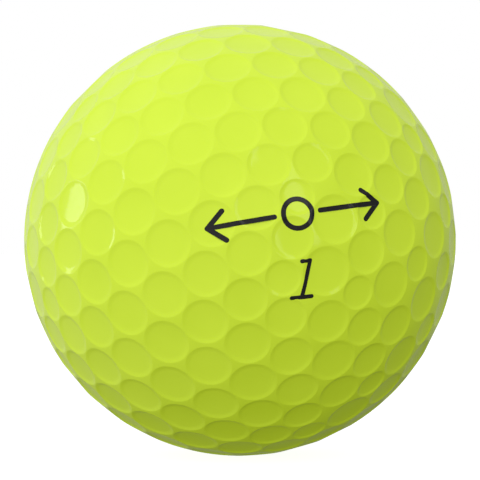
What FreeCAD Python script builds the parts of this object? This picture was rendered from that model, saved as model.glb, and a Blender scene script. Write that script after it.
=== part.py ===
import FreeCAD, Part
import math
import os

# A golf ball, in millimetres. The origin is the ball's centre. The printed marks face -Y, with +Z up.
# From the centre outwards: a rubber inner core, a rubber outer core, a thin hard casing, and a dimpled
# cover. The marks are thin ink films that follow the cover's surface, dimples included.

# Layers
BALL_DIAMETER = 42.67
CASING_DIAMETER = 41.10
OUTER_CORE_DIAMETER = 39.40
INNER_CORE_DIAMETER = 27.00
BALL_RADIUS = BALL_DIAMETER / 2

# Where the dimple pattern sits. Its pole axis points to the right of the ball and a little to the front.
POLE_AZIMUTH = -22.7
POLE_ELEVATION = -8.0
PATTERN_SPIN = 42.0

# One half of the dimple pattern, row by row from the pole to the seam. The half has four equal quarters,
# and each row is (latitude at the quarter's middle, latitude at its edge, spread, dimple widths from the
# quarter's middle outwards), with the angles in degrees. Rows have a dimple on the quarter's middle line and
# on its edge line in turn. The spread moves the dimples in between away from the middle line.
QUARTERS = 4
POLE_WIDTH = 3.65
ROWS = [
    (77.0, 77.0, 0.0, [4.55]),
    (73.5, 73.5, 0.0, [3.45]),
    (65.5, 63.9, -0.5, [4.20, 4.45]),
    (56.3, 54.3, 1.0, [3.95, 3.35, 4.20]),
    (46.8, 44.5, -0.2, [4.50, 4.30, 4.65]),
    (36.7, 34.3, 1.4, [4.25, 4.15, 3.60, 4.10]),
    (26.3, 25.0, 0.4, [4.60, 4.40, 4.15, 4.25]),
    (15.6, 15.4, 0.0, [4.40, 4.40, 4.40, 4.40]),
    (5.3, 5.3, 0.0, [4.50, 4.50, 4.50, 4.50]),
]
HALF_TWIST = 45.0

# Crowded dimples push each other apart in a few rounds. Then all grow at one rate, from a share of their
# widths in the rows above, until each is full or has only the land left between it and a neighbour. Dimples
# further apart than REACH, in degrees, never meet.
SETTLE_ROUNDS = 20
SETTLE_SHARE = 0.25
FIRST_GROWTH = 0.90
FULL_GROWTH = 1.04
GROWTH_STEPS = 70
LAND_WIDTH = 0.05
REACH = 18.0

# Dimple section: a conical wall round a shallow dish. The cutting tool carries the wall on past the rim, to
# BRIM_REACH of its length, and stands clear of the ball.
DISH_SHARE = 0.84
WALL_DROP = 0.078
DISH_DROP = 0.055
BRIM_REACH = 1.15
TOOL_CLEARANCE = 0.5

# Printed marks, drawn with a round pen: film thickness and pen widths, then the place of each mark on the
# ball and its turn, in degrees. A mark is pressed on to the ball as a prism between two depths, which are
# shares of the ball's radius.
INK_THICKNESS = 0.03
AIM_PEN = 0.46
NUMBER_PEN = 0.38
PRISM_START = 0.8
PRISM_END = 1.2
AIM_MARK_PLACE = (14.3, 6.5, 8.5)
NUMBER_PLACE = (16.6, -9.5, 6.0)

# Aim mark: a ring between two arrows that point away from it
RING_RADIUS = 1.35
ARROW_START = 2.2
ARROW_END = 8.2
HEAD_LENGTH = 1.5
HEAD_HALF_WIDTH = 1.35

# Play number: a slanted numeral 1 with a short flag at its top and a bar at its foot
NUMBER_HEIGHT = 3.3
NUMBER_SLANT = 0.30
FLAG_LENGTH = 0.8
FOOT_LEFT = 0.95
FOOT_RIGHT = 0.92


def unit_vector(azimuth, elevation):
    """Direction for an azimuth from +X towards +Y and an elevation towards +Z, in degrees."""
    turn = math.radians(azimuth)
    rise = math.radians(elevation)
    return FreeCAD.Vector(math.cos(rise) * math.cos(turn), math.cos(rise) * math.sin(turn), math.sin(rise))


def frame_rotation(x_axis, z_axis):
    """Rotation that takes +X to x_axis and +Z to z_axis."""
    return FreeCAD.Rotation(x_axis, z_axis.cross(x_axis), z_axis, "ZXY")


def pattern_rotation():
    """Rotation from the dimple pattern's own frame, with its pole on +Z, to the ball's frame."""
    pole = unit_vector(POLE_AZIMUTH, POLE_ELEVATION)
    front = FreeCAD.Vector(0, -1, 0)
    start = front - pole * front.dot(pole)
    start.normalize()
    spin = FreeCAD.Rotation(pole, PATTERN_SPIN)
    return frame_rotation(spin.multVec(start), pole)


def quarter_row(widths, staggered):
    """One quarter's dimples in a row, as (longitude from its middle line before any spread, width)."""
    count = 2 * len(widths) - 1
    pitch = 360.0 / QUARTERS / count
    first = pitch / 2 if staggered else 0.0
    row = []
    for step in range(-(count // 2), count // 2 + 1):
        rank = step if step >= 0 else -step - int(staggered)
        row.append((first + pitch * step, widths[rank]))
    return row


def half_pattern():
    """One half's dimples as (direction in the pattern's frame, width)."""
    dimples = [(FreeCAD.Vector(0, 0, 1), POLE_WIDTH)]
    for number, (middle, edge, spread, widths) in enumerate(ROWS):
        for quarter in range(QUARTERS):
            for offset, width in quarter_row(widths, number % 2 == 1):
                fold = math.radians(QUARTERS * offset)
                latitude = middle + (edge - middle) * (1 - math.cos(fold)) / 2
                longitude = 360.0 / QUARTERS * quarter + offset + spread * math.sin(fold)
                dimples.append((unit_vector(longitude, latitude), width))
    return dimples


def whole_pattern():
    """All dimples as (directions in the ball's frame, widths): one half, and the same half turned over."""
    upper = half_pattern()
    twist = FreeCAD.Rotation(FreeCAD.Vector(0, 0, 1), HALF_TWIST)
    lower = [(twist.multVec(FreeCAD.Vector(d.x, d.y, -d.z)), width) for d, width in upper]
    place = pattern_rotation()
    directions = [place.multVec(direction) for direction, _ in upper + lower]
    return directions, [width for _, width in upper + lower]


def near_neighbours(directions):
    """For each direction, the indices of the others within reach."""
    reach = math.radians(REACH)
    neighbours = []
    for here, direction in enumerate(directions):
        near = [there for there, other in enumerate(directions) if direction.getAngle(other) < reach]
        near.remove(here)
        neighbours.append(near)
    return neighbours


def settled(directions, radii, neighbours):
    """The directions after dimples that crowd each other have pushed apart."""
    land = LAND_WIDTH / BALL_RADIUS
    for _ in range(SETTLE_ROUNDS):
        moved = []
        for here, direction in enumerate(directions):
            place = FreeCAD.Vector(direction)
            for there in neighbours[here]:
                crowding = radii[here] + radii[there] + land - direction.getAngle(directions[there])
                if crowding > 0:
                    away = (direction - directions[there]).normalize()
                    place += away * (crowding * SETTLE_SHARE)
            moved.append(place.normalize())
        directions = moved
    return directions


def grown(directions, radii, neighbours):
    """Angular radii after growth, where each dimple stops when it is full or reaches a neighbour."""
    land = LAND_WIDTH / BALL_RADIUS
    step = (FULL_GROWTH - FIRST_GROWTH) / GROWTH_STEPS
    current = [FIRST_GROWTH * radius for radius in radii]
    growing = set(range(len(directions)))
    for _ in range(GROWTH_STEPS):
        ahead = [size + (step * radii[here] if here in growing else 0) for here, size in enumerate(current)]
        growing = {here for here in growing
                   if all(ahead[here] + ahead[there] + land <= directions[here].getAngle(directions[there])
                          for there in neighbours[here])}
        for here in growing:
            current[here] += step * radii[here]
    return current


def dimple_layout():
    """Directions and angular radii of all dimples."""
    directions, widths = whole_pattern()
    neighbours = near_neighbours(directions)
    radii = [math.asin(width / BALL_DIAMETER) for width in widths]
    directions = settled(directions, radii, neighbours)
    return directions, grown(directions, radii, neighbours)


def dimple_tool(direction, radius, lift):
    """Solid that cuts one dimple. A lift makes its surface that much higher, for the top of an ink film."""
    rim = BALL_RADIUS * math.sin(radius)
    rim_height = BALL_RADIUS * math.cos(radius)
    corner = FreeCAD.Vector(DISH_SHARE * rim, 0, rim_height - WALL_DROP)
    bottom = FreeCAD.Vector(0, 0, corner.z - DISH_DROP)
    wall = FreeCAD.Vector(rim, 0, rim_height) - corner
    wall_up = FreeCAD.Vector(-wall.z, 0, wall.x).normalize()
    dish_angle = 2 * math.atan(DISH_DROP / corner.x)
    dish_up = FreeCAD.Vector(-math.sin(dish_angle), 0, math.cos(dish_angle))
    mitre = (wall_up + dish_up) * (1 / (1 + wall_up.dot(dish_up)))
    corner_lifted = corner + mitre * lift
    bottom_lifted = bottom + FreeCAD.Vector(0, 0, lift)
    middle = FreeCAD.Vector(corner_lifted.x / 2, 0, bottom_lifted.z + (corner_lifted.z - bottom_lifted.z) / 4)
    brim = corner_lifted + wall * BRIM_REACH
    top = FreeCAD.Vector(0, 0, BALL_RADIUS + TOOL_CLEARANCE)
    outline = Part.Wire([
        Part.Arc(bottom_lifted, middle, corner_lifted).toShape(),
        Part.makeLine(corner_lifted, brim),
        Part.makeLine(brim, top),
        Part.makeLine(top, bottom_lifted),
    ])
    tool = Part.Face(outline).revolve(FreeCAD.Vector(0, 0, 0), FreeCAD.Vector(0, 0, 1), 360)
    tool.Placement = FreeCAD.Placement(FreeCAD.Vector(0, 0, 0),
                                       FreeCAD.Rotation(FreeCAD.Vector(0, 0, 1), direction))
    return tool


def ball(diameter):
    """Sphere about the origin, with its own poles turned to the dimple pattern's poles."""
    sphere = Part.makeSphere(diameter / 2)
    sphere.Placement = FreeCAD.Placement(FreeCAD.Vector(0, 0, 0), pattern_rotation())
    return sphere


def layer(outer_diameter, inner_diameter):
    """Closed round shell between two diameters."""
    return ball(outer_diameter).cut(ball(inner_diameter))


def stroke(start, end, pen):
    """Flat mark that a round pen leaves along a straight line."""
    along = end - start
    half = pen / 2
    side = FreeCAD.Vector(-along.y, along.x, 0).normalize() * half
    ahead = FreeCAD.Vector(along.x, along.y, 0).normalize() * half
    return Part.Face(Part.Wire([
        Part.makeLine(start - side, end - side),
        Part.Arc(end - side, end + ahead, end + side).toShape(),
        Part.makeLine(end + side, start + side),
        Part.Arc(start + side, start - ahead, start - side).toShape(),
    ]))


def pen_marks(points, pen):
    """Flat marks of a round pen that goes through the points in turn."""
    return [stroke(start, end, pen) for start, end in zip(points, points[1:])]


def ring_mark(radius):
    """Flat mark of a round pen that goes round a circle about the origin."""
    outer = Part.Wire(Part.makeCircle(radius + AIM_PEN / 2))
    inner = Part.Wire(Part.makeCircle(radius - AIM_PEN / 2))
    return Part.Face([outer, inner], "Part::FaceMakerBullseye")


def arrow_marks(side):
    """One arrow of the aim mark. side is 1 for the right and -1 for the left."""
    tip = FreeCAD.Vector(side * ARROW_END, 0, 0)
    back = tip - FreeCAD.Vector(side * HEAD_LENGTH, 0, 0)
    barb = FreeCAD.Vector(0, HEAD_HALF_WIDTH, 0)
    shaft = pen_marks([FreeCAD.Vector(side * ARROW_START, 0, 0), tip], AIM_PEN)
    return shaft + pen_marks([back + barb, tip, back - barb], AIM_PEN)


def number_marks():
    """The numeral 1, about its middle."""
    lean = FreeCAD.Vector(NUMBER_SLANT * NUMBER_HEIGHT / 2, 0, 0)
    top = FreeCAD.Vector(0, NUMBER_HEIGHT / 2, 0) + lean
    foot = FreeCAD.Vector(0, -NUMBER_HEIGHT / 2, 0) - lean
    flag = top - FreeCAD.Vector(FLAG_LENGTH, 0, 0)
    left = foot - FreeCAD.Vector(FOOT_LEFT, 0, 0)
    right = foot + FreeCAD.Vector(FOOT_RIGHT, 0, 0)
    return pen_marks([flag, top, foot], NUMBER_PEN) + pen_marks([left, right], NUMBER_PEN)


def stamp(marks, place):
    """Prism of joined flat marks, pressed on to the ball at a place (azimuth, elevation, turn)."""
    azimuth, elevation, turn = place
    outward = unit_vector(azimuth - 90, elevation)
    across = FreeCAD.Vector(0, 0, 1).cross(outward)
    across.normalize()
    tilt = FreeCAD.Rotation(outward, turn)
    prisms = []
    for mark in marks:
        mark.translate(FreeCAD.Vector(0, 0, BALL_RADIUS * PRISM_START))
        prisms.append(mark.extrude(FreeCAD.Vector(0, 0, BALL_RADIUS * (PRISM_END - PRISM_START))))
    prism = prisms[0]
    if len(prisms) > 1:
        prism = prism.fuse(prisms[1:]).removeSplitter().Solids[0]
    prism.Placement = FreeCAD.Placement(FreeCAD.Vector(0, 0, 0),
                                        frame_rotation(tilt.multVec(across), outward))
    return prism


def ink_film(prism, directions, radii):
    """The part of a thin skin over the dimpled cover that lies inside a prism."""
    middle = prism.CenterOfMass
    spread = prism.BoundBox.DiagonalLength / 2 / BALL_RADIUS + max(radii)
    film = prism.common(Part.makeSphere(BALL_RADIUS + INK_THICKNESS))
    under = Part.makeSphere(BALL_RADIUS)
    near = [index for index, direction in enumerate(directions) if direction.getAngle(middle) < spread]
    film = film.cut([dimple_tool(directions[index], radii[index], INK_THICKNESS) for index in near])
    under = under.cut([dimple_tool(directions[index], radii[index], 0.0) for index in near])
    return film.cut(under)


def main():
    directions, radii = dimple_layout()
    shell = ball(BALL_DIAMETER).cut([dimple_tool(d, r, 0.0) for d, r in zip(directions, radii)])

    nodes = {
        "inner_core": ball(INNER_CORE_DIAMETER),
        "outer_core": layer(OUTER_CORE_DIAMETER, INNER_CORE_DIAMETER),
        "casing_layer": layer(CASING_DIAMETER, OUTER_CORE_DIAMETER),
        "cover": shell.cut(ball(CASING_DIAMETER)),
    }
    marks = {
        "aim_arrow_left": stamp(arrow_marks(-1), AIM_MARK_PLACE),
        "aim_ring": stamp([ring_mark(RING_RADIUS)], AIM_MARK_PLACE),
        "aim_arrow_right": stamp(arrow_marks(1), AIM_MARK_PLACE),
        "play_number": stamp(number_marks(), NUMBER_PLACE),
    }
    for name, prism in marks.items():
        nodes[name] = ink_film(prism, directions, radii)

    os.makedirs("parts", exist_ok=True)
    for name, shape in nodes.items():
        shape.exportStep("parts/" + name + ".step")
        print(name, "solids", len(shape.Solids), "valid", shape.isValid(), "volume", round(shape.Volume, 4))
    widths = [BALL_DIAMETER * math.sin(radius) for radius in radii]
    print("dimples", len(widths), "from", round(min(widths), 2), "to", round(max(widths), 2))


main()
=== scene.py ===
import bmesh
import bpy
import math
import numpy as np
from mathutils import Matrix, Quaternion, Vector, geometry


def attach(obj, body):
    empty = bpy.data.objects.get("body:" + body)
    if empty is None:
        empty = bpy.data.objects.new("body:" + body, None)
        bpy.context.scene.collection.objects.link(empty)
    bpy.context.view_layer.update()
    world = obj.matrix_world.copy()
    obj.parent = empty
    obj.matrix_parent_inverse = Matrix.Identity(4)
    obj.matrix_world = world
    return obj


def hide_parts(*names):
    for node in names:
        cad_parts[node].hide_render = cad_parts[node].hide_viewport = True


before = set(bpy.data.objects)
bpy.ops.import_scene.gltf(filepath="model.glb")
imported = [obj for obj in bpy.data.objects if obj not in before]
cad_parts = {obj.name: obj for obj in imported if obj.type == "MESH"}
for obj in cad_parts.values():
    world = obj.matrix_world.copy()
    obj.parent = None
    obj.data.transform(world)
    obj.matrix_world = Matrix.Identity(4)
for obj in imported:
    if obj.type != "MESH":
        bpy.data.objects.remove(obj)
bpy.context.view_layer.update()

# Sizes are in metres. The ball's centre is the origin, and the printed front faces -Y.
MM = 0.001
BALL_RADIUS = 42.67 / 2 * MM
COVER_INSIDE = 41.10 / 2 * MM

# Where the dimple pattern sits: its pole axis points to the right and a little to the front
POLE_AZIMUTH = -22.7
POLE_ELEVATION = -8.0
PATTERN_SPIN = 42.0

# One half of the dimple pattern, row by row from the pole to the seam, in four equal quarters. Each row is
# (latitude at the quarter's middle, latitude at its edge, spread, dimple widths in millimetres from the
# quarter's middle outwards). The other half is the same half turned over and twisted.
QUARTERS = 4
POLE_WIDTH = 3.65
ROWS = [
    (77.0, 77.0, 0.0, [4.55]),
    (73.5, 73.5, 0.0, [3.45]),
    (65.5, 63.9, -0.5, [4.20, 4.45]),
    (56.3, 54.3, 1.0, [3.95, 3.35, 4.20]),
    (46.8, 44.5, -0.2, [4.50, 4.30, 4.65]),
    (36.7, 34.3, 1.4, [4.25, 4.15, 3.60, 4.10]),
    (26.3, 25.0, 0.4, [4.60, 4.40, 4.15, 4.25]),
    (15.6, 15.4, 0.0, [4.40, 4.40, 4.40, 4.40]),
    (5.3, 5.3, 0.0, [4.50, 4.50, 4.50, 4.50]),
]
HALF_TWIST = 45.0

# Crowded dimples push each other apart in a few rounds. Then all grow at one rate, from a share of their
# widths above, until each is full or has only the land left between it and a neighbour.
SETTLE_ROUNDS = 20
SETTLE_SHARE = 0.25
FIRST_GROWTH = 0.90
FULL_GROWTH = 1.04
GROWTH_STEPS = 70
LAND_WIDTH = 0.05 * MM
REACH = 18.0

# A dimple's section: a sloping wall round a shallow dish, with the two corners rounded. The wall starts a
# little inside the rim, so that its rounded edge ends at the rim.
DISH_SHARE = 0.84
WALL_DROP = 0.078 * MM
DISH_DROP = 0.055 * MM
RIM_INSET = 0.035 * MM
RIM_ROUND = 0.011 * MM
DISH_ROUND = 0.020 * MM

# Mesh fineness: each dimple's rings as shares of its rim, points on a ring, the step that a slope is taken
# over, rounds of fitting a point to the surface, and how close two flat points must be to count as one
RINGS = (1.004, 0.985, 0.965, 0.92, 0.86, 0.80, 0.72, 0.45)
SEGMENTS = 34
SLOPE_STEP = 0.001 * MM
FIT_ROUNDS = 6
SAME_POINT = 1e-9
INSIDE_SUBDIVISIONS = 5

# Printed marks, drawn with a round pen: how far the film stands over the cover and how far it goes in, then
# the place of each mark on the ball and its turn, in degrees
INK_LIFT = 0.016 * MM
INK_ROOT = 0.010 * MM
AIM_PEN = 0.46 * MM
NUMBER_PEN = 0.38 * MM
AIM_MARK_PLACE = (14.3, 6.5, 8.5)
NUMBER_PLACE = (16.6, -9.5, 6.0)

# Aim mark: a ring between two arrows that point away from it
RING_RADIUS = 1.35 * MM
ARROW_START = 2.2 * MM
ARROW_END = 8.2 * MM
HEAD_LENGTH = 1.5 * MM
HEAD_HALF_WIDTH = 1.35 * MM

# Play number: a slanted numeral 1 with a short flag at its top and a bar at its foot
NUMBER_HEIGHT = 3.3 * MM
NUMBER_SLANT = 0.30
FLAG_LENGTH = 0.8 * MM
FOOT_LEFT = 0.95 * MM
FOOT_RIGHT = 0.92 * MM

# Fineness of the marks: steps round a pen's end, steps round the ring, and the grid inside a mark
PEN_STEPS = 12
RING_STEPS = 72
INK_GRID = 0.09 * MM

# Camera: straight at the ball's front, level with its centre
CAMERA_DISTANCE = 10.66 * BALL_RADIUS
CAMERA_LENS = 171.8
CAMERA_SENSOR = 36.0
CAMERA_NEAR = 0.005

# Studio. The room's own light is brighter towards the key direction. A backdrop behind the ball is brighter
# still, and the floor behind and below it is darker. Edges are cosines, and each fades over its blur.
KEY_DIRECTION = (-0.51, -0.46, 0.725)
ROOM_LIGHT = 0.67
ROOM_SLOPE = 0.59
BACKDROP_SIDE = (0, 1, 0)
BACKDROP_EDGE = 0.60
BACKDROP_BLUR = 0.30
BACKDROP_LIGHT = 0.15
SHADE_SIDE = (0.0, 0.707, -0.707)
SHADE_EDGE = 0.62
SHADE_BLUR = 0.45
SHADE_DEPTH = 0.9

# The floor under the ball: its gap below the ball, half width, own glow and grey
FLOOR_GAP = 0.05 * MM
FLOOR_HALF = 3.0
FLOOR_GLOW = 0.92
FLOOR_GREY = 0.30

# Soft panels: name, direction of the top end, direction of the bottom end, width, brightness
PANEL_DISTANCE = 0.38
PANELS = [
    ("left_strip", (-0.95, 0.18, 0.30), (-0.985, 0.18, 0.00), 0.060, 3.2),
    ("right_window", (0.36, -0.74, 0.63), (0.62, -0.84, -0.05), 0.060, 1.7),
]

# Looks: linear colours as (dark, light), and roughness as (low, high)
COVER_COLOURS = ((0.635, 0.845, 0.024), (0.665, 0.875, 0.030))
COVER_ROUGHNESS = (0.42, 0.50)
COVER_SPECULAR = 0.12
COVER_COAT = 0.55
COVER_GRAIN = 0.0006 * MM
COAT_ROUGHNESS = 0.07
INK_COLOURS = ((0.003, 0.003, 0.003), (0.008, 0.008, 0.009))
INK_ROUGHNESS = (0.24, 0.34)
INK_SPECULAR = 0.15
INK_COAT = 0.25
INNER_CORE_COLOURS = ((0.70, 0.24, 0.04), (0.82, 0.34, 0.07))
OUTER_CORE_COLOURS = ((0.10, 0.26, 0.36), (0.16, 0.36, 0.46))
RUBBER_ROUGHNESS = (0.55, 0.75)
RUBBER_GRAIN = 0.02 * MM
CASING_COLOURS = ((0.78, 0.79, 0.75), (0.86, 0.87, 0.84))
CASING_ROUGHNESS = (0.30, 0.42)
CASING_GRAIN = 0.004 * MM
CASING_DEPTH = 0.5 * MM


def unit_vector(azimuth, elevation):
    """Direction for an azimuth from +X towards +Y and an elevation towards +Z, in degrees."""
    turn = math.radians(azimuth)
    rise = math.radians(elevation)
    return Vector((math.cos(rise) * math.cos(turn), math.cos(rise) * math.sin(turn), math.sin(rise)))


def axes_matrix(x_axis, z_axis):
    """Rotation that takes +X to x_axis and +Z to z_axis."""
    y_axis = z_axis.cross(x_axis)
    return Matrix((x_axis, y_axis, z_axis)).transposed()


# ---------------------------------------------------------------- dimple pattern


def pattern_rotation():
    """Rotation from the pattern's own frame, with its pole on +Z, to the ball's frame."""
    pole = unit_vector(POLE_AZIMUTH, POLE_ELEVATION)
    front = Vector((0, -1, 0))
    start = (front - pole * front.dot(pole)).normalized()
    start.rotate(Quaternion(pole, math.radians(PATTERN_SPIN)))
    return axes_matrix(start, pole)


def quarter_row(widths, staggered):
    """One quarter's dimples in a row, as (longitude from its middle line before any spread, width)."""
    count = 2 * len(widths) - 1
    pitch = 360.0 / QUARTERS / count
    first = pitch / 2 if staggered else 0.0
    row = []
    for step in range(-(count // 2), count // 2 + 1):
        rank = step if step >= 0 else -step - int(staggered)
        row.append((first + pitch * step, widths[rank]))
    return row


def half_pattern():
    """One half's dimples as (direction in the pattern's frame, width)."""
    dimples = [(Vector((0, 0, 1)), POLE_WIDTH)]
    for number, (middle, edge, spread, widths) in enumerate(ROWS):
        for quarter in range(QUARTERS):
            for offset, width in quarter_row(widths, number % 2 == 1):
                fold = math.radians(QUARTERS * offset)
                latitude = middle + (edge - middle) * (1 - math.cos(fold)) / 2
                longitude = 360.0 / QUARTERS * quarter + offset + spread * math.sin(fold)
                dimples.append((unit_vector(longitude, latitude), width))
    return dimples


def whole_pattern():
    """All dimples as arrays: directions in the ball's frame, and widths."""
    upper = half_pattern()
    twist = Matrix.Rotation(math.radians(HALF_TWIST), 3, "Z")
    lower = [(twist @ Vector((d.x, d.y, -d.z)), width) for d, width in upper]
    place = pattern_rotation()
    directions = [place @ direction for direction, _ in upper + lower]
    return np.array(directions), np.array([width for _, width in upper + lower]) * MM


def angles_between(directions):
    """Angle between every two directions, with those out of reach set to a half turn."""
    angles = np.arccos(np.clip(directions @ directions.T, -1, 1))
    np.fill_diagonal(angles, math.pi)
    return np.where(angles < math.radians(REACH), angles, math.pi)


def settled(directions, radii):
    """The directions after dimples that crowd each other have pushed apart."""
    room = radii[:, None] + radii[None, :] + LAND_WIDTH / BALL_RADIUS
    for _ in range(SETTLE_ROUNDS):
        crowding = np.maximum(room - angles_between(directions), 0)
        away = directions[:, None, :] - directions[None, :, :]
        away /= np.maximum(np.linalg.norm(away, axis=2), 1e-6)[:, :, None]
        directions = directions + (away * crowding[:, :, None]).sum(axis=1) * SETTLE_SHARE
        directions /= np.linalg.norm(directions, axis=1)[:, None]
    return directions


def grown(directions, radii):
    """Angular radii after growth, where each dimple stops when it is full or reaches a neighbour."""
    room = angles_between(directions) - LAND_WIDTH / BALL_RADIUS
    step = radii * (FULL_GROWTH - FIRST_GROWTH) / GROWTH_STEPS
    current = FIRST_GROWTH * radii
    growing = np.ones(len(directions), bool)
    for _ in range(GROWTH_STEPS):
        ahead = current + step * growing
        growing &= (ahead[:, None] + ahead[None, :] <= room).all(axis=1)
        current = current + step * growing
    return current


def dimple_layout():
    """Directions and angular radii of all dimples."""
    directions, widths = whole_pattern()
    radii = np.arcsin(widths / 2 / BALL_RADIUS)
    directions = settled(directions, radii)
    return directions, grown(directions, radii)


# ---------------------------------------------------------------- dimple section


def smooth_least(a, b, width):
    """The lesser of a and b, rounded where they are within width of each other."""
    blend = np.maximum(width - np.abs(a - b), 0) / width
    return np.minimum(a, b) - blend * blend * width / 4


def section_height(across, rim):
    """Height of the surface above the rim's plane at a distance across from a dimple's axis."""
    rim_height = np.sqrt(BALL_RADIUS**2 - rim**2)
    sphere = np.sqrt(BALL_RADIUS**2 - across**2) - rim_height
    wall = (across - rim + RIM_INSET) * WALL_DROP / ((1 - DISH_SHARE) * rim)
    dish = DISH_DROP * (across / (DISH_SHARE * rim)) ** 2 - DISH_DROP - WALL_DROP
    hollow = -smooth_least(-wall, -dish, DISH_ROUND)
    return smooth_least(hollow, sphere, RIM_ROUND)


def surface_points(points, directions, radii):
    """The same directions as points, moved on to the dimpled surface."""
    rays = points / np.linalg.norm(points, axis=1)[:, None]
    nearness = rays @ directions.T
    nearest = np.argmax(nearness + (1 - np.cos(radii))[None, :], axis=1)
    angle = np.arccos(np.clip(nearness[np.arange(len(rays)), nearest], -1, 1))
    rim = BALL_RADIUS * np.sin(radii[nearest])
    rim_height = BALL_RADIUS * np.cos(radii[nearest])
    length = np.full(len(rays), BALL_RADIUS)
    for _ in range(FIT_ROUNDS):
        across = length * np.sin(angle)
        length = (rim_height + section_height(across, rim)) / np.cos(angle)
    inside = angle < radii[nearest] * RINGS[0]
    return rays * np.where(inside, length, BALL_RADIUS)[:, None]


# ---------------------------------------------------------------- cover


def dimple_frames(directions):
    """Two directions square to each dimple's axis and to each other."""
    steep = np.abs(directions[:, 2:]) > 0.9
    guide = np.where(steep, [[1.0, 0.0, 0.0]], [[0.0, 0.0, 1.0]])
    first = np.cross(guide, directions)
    first /= np.linalg.norm(first, axis=1)[:, None]
    return first, np.cross(directions, first)


def stereographic(points, centre, first, second):
    """Points of the ball, seen from its surface at centre, on the plane across from it."""
    rays = points / np.linalg.norm(points, axis=1)[:, None]
    scale = 1 / (1 - rays @ centre)
    return np.stack([rays @ first * scale, rays @ second * scale], axis=1)


def land_faces(rim_points, directions):
    """Triangles between the dimples. Each dimple's outer ring comes as SEGMENTS points in turn."""
    count = len(directions)
    first, second = dimple_frames(directions)
    flat = stereographic(rim_points, directions[0], first[0], second[0])
    edges = []
    for dimple in range(count):
        start = dimple * SEGMENTS
        edges += [(start + i, start + (i + 1) % SEGMENTS) for i in range(SEGMENTS)]
    corners = [Vector(point) for point in flat]
    _, _, faces, origins, _, _ = geometry.delaunay_2d_cdt(corners, edges, [], 0, SAME_POINT)
    found = []
    for face in faces:
        corners = [origins[i][0] for i in face]
        if len({corner // SEGMENTS for corner in corners}) > 1:
            found.append(corners)
    return found


def skin_rings(directions, radii):
    """Points and normals of the dimples' rings, outermost first, as arrays of dimple, segment and axis."""
    first, second = dimple_frames(directions)
    turns = np.arange(SEGMENTS) * 2 * math.pi / SEGMENTS
    around = np.cos(turns)[None, :, None] * first[:, None, :]
    around = around + np.sin(turns)[None, :, None] * second[:, None, :]
    rim = BALL_RADIUS * np.sin(radii)
    rim_height = BALL_RADIUS * np.cos(radii)
    points = []
    normals = []
    for share in RINGS:
        across = rim * share
        height = section_height(across, rim)
        slope = (section_height(across + SLOPE_STEP, rim) - height) / SLOPE_STEP
        axial = directions[:, None, :] * (rim_height + height)[:, None, None]
        point = axial + around * across[:, None, None]
        normal = point if share >= 1 else directions[:, None, :] - around * slope[:, None, None]
        points.append(point)
        normals.append(normal / np.linalg.norm(normal, axis=2)[:, :, None])
    return points, normals


def inside_sphere():
    """Points and faces of the cover's round inside, with the faces turned towards the centre."""
    sphere = bmesh.new()
    bmesh.ops.create_icosphere(sphere, subdivisions=INSIDE_SUBDIVISIONS, radius=COVER_INSIDE)
    points = np.array([tuple(vert.co) for vert in sphere.verts])
    faces = [[vert.index for vert in reversed(face.verts)] for face in sphere.faces]
    sphere.free()
    return points, faces


def build_cover(directions, radii):
    """The dimpled skin and the round inside of the cover: points, exact normals and faces."""
    points, normals = skin_rings(directions, radii)
    rim = BALL_RADIUS * np.sin(radii)
    bottoms = directions * (BALL_RADIUS * np.cos(radii) + section_height(rim * 0, rim))[:, None]
    inner_points, inner_faces = inside_sphere()
    verts = np.concatenate([p.reshape(-1, 3) for p in points] + [bottoms, inner_points])
    inner_normals = -inner_points / COVER_INSIDE
    outward = np.concatenate([n.reshape(-1, 3) for n in normals] + [directions, inner_normals])
    count = len(directions)
    ring_size = count * SEGMENTS
    faces = land_faces(points[0].reshape(-1, 3), directions)
    for dimple in range(count):
        for i in range(SEGMENTS):
            a = dimple * SEGMENTS + i
            b = dimple * SEGMENTS + (i + 1) % SEGMENTS
            for ring in range(len(RINGS) - 1):
                step = ring * ring_size
                faces.append([a + step, b + step, b + step + ring_size, a + step + ring_size])
            last = (len(RINGS) - 1) * ring_size
            faces.append([a + last, b + last, last + ring_size + dimple])
    start = last + ring_size + count
    faces = outward_faces(verts, faces) + [[start + i for i in face] for face in inner_faces]
    return verts, outward, faces


def outward_faces(verts, faces):
    """The same faces, each turned so that its corners run round it the right way, seen from outside."""
    turned = []
    for face in faces:
        a, b, c = (verts[i] for i in face[:3])
        outward = np.dot(np.cross(b - a, c - a), a + b + c)
        turned.append(face if outward > 0 else face[::-1])
    return turned


def mesh_object(name, verts, faces):
    mesh = bpy.data.meshes.new(name)
    mesh.from_pydata([tuple(v) for v in verts], [], faces)
    mesh.update()
    mesh.shade_smooth()
    piece = bpy.data.objects.new(name, mesh)
    bpy.context.scene.collection.objects.link(piece)
    return piece


# ---------------------------------------------------------------- printed marks


def stroke_outline(start, end, pen):
    """Outline of the flat mark that a round pen leaves along a straight line."""
    along = math.atan2(end[1] - start[1], end[0] - start[0])
    outline = []
    for centre, turn in ((end, along - math.pi / 2), (start, along + math.pi / 2)):
        for step in range(PEN_STEPS + 1):
            angle = turn + math.pi * step / PEN_STEPS
            outline.append((centre[0] + pen / 2 * math.cos(angle), centre[1] + pen / 2 * math.sin(angle)))
    return outline


def circle_points(radius, steps):
    turns = [2 * math.pi * step / steps for step in range(steps)]
    return [(radius * math.cos(turn), radius * math.sin(turn)) for turn in turns]


def segment_distance(points, start, end):
    """Distance of each point from a straight line between two points."""
    start = np.array(start)
    along = np.array(end) - start
    share = np.clip((points - start) @ along / (along @ along), 0, 1)
    return np.linalg.norm(points - start - share[:, None] * along, axis=1)


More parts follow.
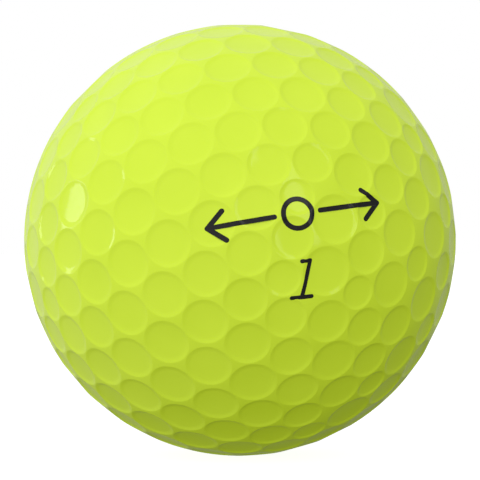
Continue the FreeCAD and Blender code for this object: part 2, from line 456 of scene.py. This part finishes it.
def flat_triangles(outlines, inside):
    """Fine triangles over a flat mark, as points and faces. inside says which points the mark covers."""
    corners = [Vector(point) for outline in outlines for point in outline]
    edges = []
    start = 0
    for outline in outlines:
        size = len(outline)
        edges += [(start + i, start + (i + 1) % size) for i in range(size)]
        start += size
    low = [min(point[axis] for point in corners) for axis in (0, 1)]
    high = [max(point[axis] for point in corners) for axis in (0, 1)]
    columns = np.arange(low[0], high[0], INK_GRID)
    lines = np.arange(low[1], high[1], INK_GRID)
    grid = np.stack(np.meshgrid(columns, lines), axis=-1).reshape(-1, 2)
    grid = grid[inside(grid)]
    corners += [Vector(point) for point in grid]
    verts, _, faces, _, _, _ = geometry.delaunay_2d_cdt(corners, edges, [], 0, SAME_POINT)
    points = np.array([tuple(point) for point in verts])
    middles = np.array([points[face].mean(axis=0) for face in faces])
    return points, [face for face, kept in zip(faces, inside(middles)) if kept]


def pen_mark(lines, pen):
    """A mark made of straight pen strokes, each a pair of points."""
    def inside(points):
        return np.min([segment_distance(points, *line) for line in lines], axis=0) < pen / 2
    return flat_triangles([stroke_outline(*line, pen) for line in lines], inside)


def ring_mark(radius):
    """A mark that goes round a circle about the origin."""
    def inside(points):
        return np.abs(np.linalg.norm(points, axis=1) - radius) < AIM_PEN / 2
    outlines = [circle_points(radius + side * AIM_PEN / 2, RING_STEPS) for side in (-1, 1)]
    return flat_triangles(outlines, inside)


def arrow_lines(side):
    """Strokes of one arrow of the aim mark. side is 1 for the right and -1 for the left."""
    tip = (side * ARROW_END, 0.0)
    back = side * (ARROW_END - HEAD_LENGTH)
    shaft = ((side * ARROW_START, 0.0), tip)
    return [shaft, ((back, HEAD_HALF_WIDTH), tip), (tip, (back, -HEAD_HALF_WIDTH))]


def number_lines():
    """Strokes of the numeral 1, about its middle."""
    lean = NUMBER_SLANT * NUMBER_HEIGHT / 2
    top = (lean, NUMBER_HEIGHT / 2)
    foot = (-lean, -NUMBER_HEIGHT / 2)
    flag = (top[0] - FLAG_LENGTH, top[1])
    return [(flag, top), (top, foot), ((foot[0] - FOOT_LEFT, foot[1]), (foot[0] + FOOT_RIGHT, foot[1]))]


def boundary_edges(faces):
    """Edges that only one face has, each in that face's own order."""
    edges = {(a, b) for face in faces for a, b in zip(face, face[1:] + face[:1])}
    return [(a, b) for a, b in edges if (b, a) not in edges]


def print_mark(name, mark, place, directions, radii):
    """A thin ink film over the dimpled surface, where a flat mark is pressed on it."""
    flat, faces = mark
    used = sorted({i for face in faces for i in face})
    number = {old: new for new, old in enumerate(used)}
    faces = [[number[i] for i in face] for face in faces]
    flat = flat[used]
    azimuth, elevation, turn = place
    outward = unit_vector(azimuth - 90, elevation)
    across = Vector((0, 0, 1)).cross(outward).normalized()
    across.rotate(Quaternion(outward, math.radians(turn)))
    upward = outward.cross(across)
    depth = np.sqrt(BALL_RADIUS**2 - (flat**2).sum(axis=1))
    rays = flat[:, :1] * np.array(across) + flat[:, 1:] * np.array(upward)
    rays = rays + depth[:, None] * np.array(outward)
    ground = surface_points(rays, directions, radii)
    unit = ground / np.linalg.norm(ground, axis=1)[:, None]
    top = outward_faces(ground, faces)
    count = len(ground)
    bottom = [[i + count for i in reversed(face)] for face in top]
    sides = [[b, a, a + count, b + count] for a, b in boundary_edges(top)]
    verts = np.concatenate([ground + unit * INK_LIFT, ground - unit * INK_ROOT])
    piece = mesh_object(name, verts, top + bottom + sides)
    for polygon in piece.data.polygons[len(top) + len(bottom):]:
        polygon.use_smooth = False
    return piece


# ---------------------------------------------------------------- materials


def new_material(name):
    """A node material with a Principled shader, as (material, its nodes, its links, the shader)."""
    material = bpy.data.materials.new(name)
    material.use_nodes = True
    nodes = material.node_tree.nodes
    return material, nodes, material.node_tree.links, nodes["Principled BSDF"]


def noise_node(nodes, links, scale, detail, roughness):
    """Noise over the object's own space. scale is per metre."""
    place = nodes.new("ShaderNodeTexCoord")
    noise = nodes.new("ShaderNodeTexNoise")
    noise.inputs["Scale"].default_value = scale
    noise.inputs["Detail"].default_value = detail
    noise.inputs["Roughness"].default_value = roughness
    links.new(place.outputs["Object"], noise.inputs["Vector"])
    return noise


def colour_between(nodes, links, source, low, high, colours):
    """Colour ramp from dark to light as source goes from low to high."""
    ramp = nodes.new("ShaderNodeValToRGB")
    for element, position, colour in zip(ramp.color_ramp.elements, (low, high), colours):
        element.position = position
        element.color = (*colour, 1)
    links.new(source, ramp.inputs["Fac"])
    return ramp.outputs["Color"]


def value_between(nodes, links, source, low, high, values, interpolation="LINEAR"):
    """Number that goes from the first of values to the second as source goes from low to high."""
    spread = nodes.new("ShaderNodeMapRange")
    spread.interpolation_type = interpolation
    spread.inputs["From Min"].default_value = low
    spread.inputs["From Max"].default_value = high
    spread.inputs["To Min"].default_value = values[0]
    spread.inputs["To Max"].default_value = values[1]
    links.new(source, spread.inputs["Value"])
    return spread.outputs["Result"]


def add_bump(nodes, links, shader, source, height):
    """Bump of the given height, in metres, from a source between 0 and 1."""
    bump = nodes.new("ShaderNodeBump")
    bump.inputs["Distance"].default_value = height
    links.new(source, bump.inputs["Height"])
    links.new(bump.outputs["Normal"], shader.inputs["Normal"])


def cover_material():
    """Fluorescent yellow-green urethane under a clear gloss coat."""
    material, nodes, links, shader = new_material("yellow_urethane")
    cloud = noise_node(nodes, links, scale=160, detail=3, roughness=0.5).outputs["Fac"]
    links.new(colour_between(nodes, links, cloud, 0.3, 0.7, COVER_COLOURS), shader.inputs["Base Color"])
    grain = noise_node(nodes, links, scale=2600, detail=2, roughness=0.5).outputs["Fac"]
    links.new(value_between(nodes, links, grain, 0.3, 0.7, COVER_ROUGHNESS), shader.inputs["Roughness"])
    shader.inputs["Specular IOR Level"].default_value = COVER_SPECULAR
    shader.inputs["Coat Weight"].default_value = COVER_COAT
    shader.inputs["Coat Roughness"].default_value = COAT_ROUGHNESS
    add_bump(nodes, links, shader, grain, COVER_GRAIN)
    return material


def ink_material():
    """Black printing ink under the same clear coat."""
    material, nodes, links, shader = new_material("black_ink")
    speckle = noise_node(nodes, links, scale=5200, detail=2, roughness=0.6).outputs["Fac"]
    links.new(colour_between(nodes, links, speckle, 0.35, 0.75, INK_COLOURS), shader.inputs["Base Color"])
    links.new(value_between(nodes, links, speckle, 0.3, 0.7, INK_ROUGHNESS), shader.inputs["Roughness"])
    shader.inputs["Specular IOR Level"].default_value = INK_SPECULAR
    shader.inputs["Coat Weight"].default_value = INK_COAT
    shader.inputs["Coat Roughness"].default_value = COAT_ROUGHNESS
    return material


def rubber_material(name, colours):
    """Cured core rubber: matt, with a fine mottle and a ground surface."""
    material, nodes, links, shader = new_material(name)
    mottle = noise_node(nodes, links, scale=900, detail=5, roughness=0.6).outputs["Fac"]
    links.new(colour_between(nodes, links, mottle, 0.3, 0.7, colours), shader.inputs["Base Color"])
    links.new(value_between(nodes, links, mottle, 0.3, 0.7, RUBBER_ROUGHNESS), shader.inputs["Roughness"])
    add_bump(nodes, links, shader, mottle, RUBBER_GRAIN)
    return material


def casing_material():
    """Moulded ionomer: milky white and satin, with faint flow marks."""
    material, nodes, links, shader = new_material("white_ionomer")
    noise = noise_node(nodes, links, scale=240, detail=4, roughness=0.5)
    noise.inputs["Distortion"].default_value = 1.2
    flow = noise.outputs["Fac"]
    links.new(colour_between(nodes, links, flow, 0.3, 0.7, CASING_COLOURS), shader.inputs["Base Color"])
    links.new(value_between(nodes, links, flow, 0.3, 0.7, CASING_ROUGHNESS), shader.inputs["Roughness"])
    shader.inputs["Subsurface Weight"].default_value = 0.15
    shader.inputs["Subsurface Scale"].default_value = CASING_DEPTH
    add_bump(nodes, links, shader, flow, CASING_GRAIN)
    return material


def set_material(piece, material):
    piece.data.materials.clear()
    piece.data.materials.append(material)


# ---------------------------------------------------------------- studio


def build_camera():
    data = bpy.data.cameras.new("camera")
    data.lens = CAMERA_LENS
    data.sensor_width = CAMERA_SENSOR
    data.clip_start = CAMERA_NEAR
    camera = bpy.data.objects.new("camera", data)
    camera.location = (0, -CAMERA_DISTANCE, 0)
    camera.rotation_euler = (math.radians(90), 0, 0)
    bpy.context.scene.collection.objects.link(camera)
    bpy.context.scene.camera = camera


def facing_value(nodes, links, place, side):
    """How nearly a direction in the room faces a side, from -1 to 1."""
    facing = nodes.new("ShaderNodeVectorMath")
    facing.operation = "DOT_PRODUCT"
    facing.inputs[1].default_value = Vector(side).normalized()
    links.new(place.outputs["Generated"], facing.inputs[0])
    return facing.outputs["Value"]


def two_values(nodes, links, operation, first, second):
    """Result of a maths operation on two sources."""
    result = nodes.new("ShaderNodeMath")
    result.operation = operation
    links.new(first, result.inputs[0])
    links.new(second, result.inputs[1])
    return result.outputs["Value"]


def white_light(nodes):
    light = nodes.new("ShaderNodeBackground")
    light.inputs["Color"].default_value = (1, 1, 1, 1)
    return light


def build_room():
    """Soft light from all round, brightest from the upper left. The camera sees a plain white backdrop."""
    world = bpy.data.worlds.new("studio")
    bpy.context.scene.world = world
    world.use_nodes = True
    nodes = world.node_tree.nodes
    links = world.node_tree.links
    nodes.clear()
    place = nodes.new("ShaderNodeTexCoord")
    key = facing_value(nodes, links, place, KEY_DIRECTION)
    level = value_between(nodes, links, key, -1.0, 1.0, (ROOM_LIGHT - ROOM_SLOPE, ROOM_LIGHT + ROOM_SLOPE))
    behind = facing_value(nodes, links, place, BACKDROP_SIDE)
    backdrop = value_between(nodes, links, behind, BACKDROP_EDGE, BACKDROP_EDGE + BACKDROP_BLUR,
                             (0.0, BACKDROP_LIGHT), "SMOOTHSTEP")
    below = facing_value(nodes, links, place, SHADE_SIDE)
    shade = value_between(nodes, links, below, SHADE_EDGE, SHADE_EDGE + SHADE_BLUR,
                          (1.0, 1.0 - SHADE_DEPTH), "SMOOTHSTEP")
    lit = white_light(nodes)
    total = two_values(nodes, links, "ADD", level, backdrop)
    links.new(two_values(nodes, links, "MULTIPLY", total, shade), lit.inputs["Strength"])
    rays = nodes.new("ShaderNodeLightPath")
    mix = nodes.new("ShaderNodeMixShader")
    links.new(rays.outputs["Is Camera Ray"], mix.inputs["Fac"])
    links.new(lit.outputs["Background"], mix.inputs[1])
    links.new(white_light(nodes).outputs["Background"], mix.inputs[2])
    output = nodes.new("ShaderNodeOutputWorld")
    links.new(mix.outputs["Shader"], output.inputs["Surface"])


def soft_panel(name, top, bottom, width, brightness):
    """Area light that faces the ball and runs from one direction to another."""
    upper = Vector(top).normalized() * PANEL_DISTANCE
    lower = Vector(bottom).normalized() * PANEL_DISTANCE
    height = (upper - lower).length
    facing = (upper + lower).normalized()
    data = bpy.data.lights.new(name, "AREA")
    data.shape = "RECTANGLE"
    data.size = width
    data.size_y = height
    data.energy = brightness * math.pi * width * height
    light = bpy.data.objects.new(name, data)
    upward = (upper - lower).normalized()
    turn = axes_matrix(upward.cross(facing), facing).to_4x4()
    light.matrix_world = Matrix.Translation((upper + lower) / 2) @ turn
    light.visible_camera = False
    bpy.context.scene.collection.objects.link(light)


def build_floor():
    """Plain white floor just under the ball. It takes a faint shadow and sends no light back."""
    low = -BALL_RADIUS - FLOOR_GAP
    corners = [(x * FLOOR_HALF, y * FLOOR_HALF, low) for x, y in ((-1, -1), (1, -1), (1, 1), (-1, 1))]
    floor = mesh_object("floor", corners, [[0, 1, 2, 3]])
    material, _, _, shader = new_material("white_floor")
    shader.inputs["Base Color"].default_value = (FLOOR_GREY, FLOOR_GREY, FLOOR_GREY, 1)
    shader.inputs["Roughness"].default_value = 1.0
    shader.inputs["Specular IOR Level"].default_value = 0.0
    shader.inputs["Emission Color"].default_value = (1, 1, 1, 1)
    shader.inputs["Emission Strength"].default_value = FLOOR_GLOW
    set_material(floor, material)
    floor.visible_diffuse = False
    floor.visible_glossy = False
    floor.visible_transmission = False
    floor.visible_shadow = False


# ---------------------------------------------------------------- scene

build_camera()
build_room()
build_floor()
for panel in PANELS:
    soft_panel(*panel)
bpy.context.scene.view_settings.view_transform = "Standard"

directions, radii = dimple_layout()
verts, normals, faces = build_cover(directions, radii)
cover = mesh_object("cover_skin", verts, faces)
cover.data.normals_split_custom_set_from_vertices([tuple(normal) for normal in normals])
set_material(cover, cover_material())
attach(cover, "root")
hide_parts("cover")

ink = ink_material()
marks = {
    "aim_arrow_left": (pen_mark(arrow_lines(-1), AIM_PEN), AIM_MARK_PLACE),
    "aim_ring": (ring_mark(RING_RADIUS), AIM_MARK_PLACE),
    "aim_arrow_right": (pen_mark(arrow_lines(1), AIM_PEN), AIM_MARK_PLACE),
    "play_number": (pen_mark(number_lines(), NUMBER_PEN), NUMBER_PLACE),
}
for node, (mark, place) in marks.items():
    film = print_mark(node + "_ink", mark, place, directions, radii)
    set_material(film, ink)
    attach(film, "root")
    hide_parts(node)

set_material(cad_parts["inner_core"], rubber_material("orange_rubber", INNER_CORE_COLOURS))
set_material(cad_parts["outer_core"], rubber_material("blue_rubber", OUTER_CORE_COLOURS))
set_material(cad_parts["casing_layer"], casing_material())
